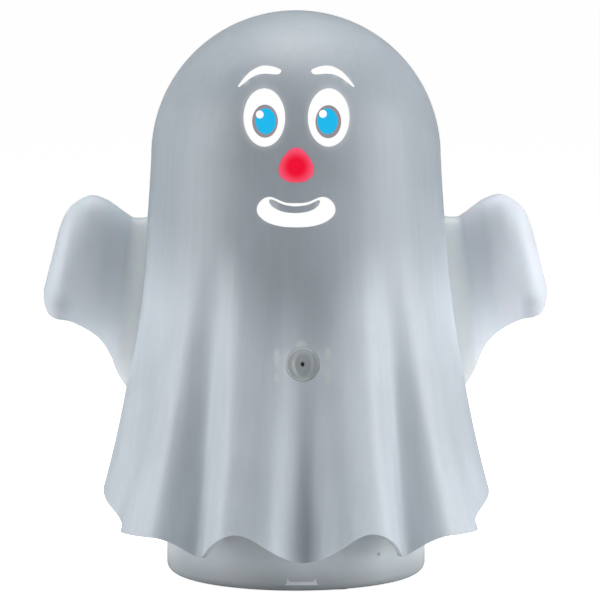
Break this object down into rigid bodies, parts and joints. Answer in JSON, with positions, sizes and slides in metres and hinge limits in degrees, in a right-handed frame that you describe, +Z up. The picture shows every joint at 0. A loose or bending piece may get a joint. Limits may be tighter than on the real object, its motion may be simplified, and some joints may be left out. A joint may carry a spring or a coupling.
{
  "type": "animated ghost figure",
  "caption": "Table-top ghost with a fluted frosted body and raised arms on a drum base, its face lit from inside by a small projector.",
  "frame": {"origin": "on the table, under the middle of the figure", "axes": "+Z up, face looks along -Y, arms along +X and -X"},
  "size_m": [0.2952, 0.2221, 0.33],
  "materials": {
    "frosted_shell": "frosted, translucent",
    "base_plastic": "satin, slightly translucent",
    "inner_plastic": "matte black",
    "rubber": "matte",
    "steel": "zinc plated",
    "aluminium": "plain",
    "circuit_board": "green solder mask",
    "lens": "clear",
    "speaker_paper": "pressed paper",
    "control_plastic": "satin black"
  },
  "bodies": {
    "figure": {"back_shell": "frosted_shell", "base_drum": "base_plastic", "base_screw_1": "steel", "base_screw_2": "steel", "base_screw_3": "steel", "base_screw_4": "steel", "board_screw_1": "steel", "board_screw_2": "steel", "bottom_plate": "base_plastic", "button_switch": "control_plastic", "condenser_lens": "lens", "control_board": "circuit_board", "control_panel": "base_plastic", "cradle_screw_1": "steel", "cradle_screw_2": "steel", "dc_jack": "control_plastic", "deck_plate": "inner_plastic", "fan_frame": "inner_plastic", "front_shell": "frosted_shell", "heat_sink": "aluminium", "lcd_panel": "lens", "led_board": "circuit_board", "left_arm": "frosted_shell", "main_board": "circuit_board", "power_switch": "steel", "projector_cradle": "inner_plastic", "projector_housing": "inner_plastic", "right_arm": "frosted_shell", "rubber_foot_1": "rubber", "rubber_foot_2": "rubber", "rubber_foot_3": "rubber", "rubber_foot_4": "rubber", "sensor_board": "circuit_board", "sensor_bracket": "base_plastic", "sensor_capsule": "aluminium", "sensor_cup": "base_plastic", "sensor_screw_1": "steel", "sensor_screw_2": "steel", "shell_screw_1": "steel", "shell_screw_2": "steel", "shell_screw_3": "steel", "shell_screw_4": "steel", "speaker_cone": "speaker_paper", "speaker_frame": "steel", "speaker_magnet": "inner_plastic", "volume_pot": "steel"},
    "power_slider": {"power_slider": "control_plastic"},
    "mode_button": {"mode_button": "control_plastic"},
    "volume_wheel": {"volume_wheel": "control_plastic"},
    "fan_rotor": {"fan_rotor": "control_plastic"},
    "focus_ring": {"focus_ring": "control_plastic", "lens_barrel": "control_plastic", "projection_lens": "lens"}
  },
  "joints": [
    {"name": "power_slide", "type": "slide", "parent": "figure", "child": "power_slider", "axis": [1, 0, 0], "range_m": [0, 0.004]},
    {"name": "mode_press", "type": "slide", "parent": "figure", "child": "mode_button", "axis": [0, -1, 0], "range_m": [0, 0.001], "stiffness_N_per_m": 400},
    {"name": "volume_turn", "type": "hinge", "parent": "figure", "child": "volume_wheel", "pos_m": [0.015, 0.0645, 0.022], "axis": [0, 0, 1], "range_deg": [-135, 135]},
    {"name": "fan_spin", "type": "hinge", "parent": "figure", "child": "fan_rotor", "pos_m": [0, 0.03, 0.0781], "axis": [0, -0.5592, 0.829], "continuous": true},
    {"name": "focus_turn", "type": "hinge", "parent": "figure", "child": "focus_ring", "pos_m": [0, 0.03, 0.0781], "axis": [0, -0.5592, 0.829], "range_deg": [-60, 60]}
  ]
}
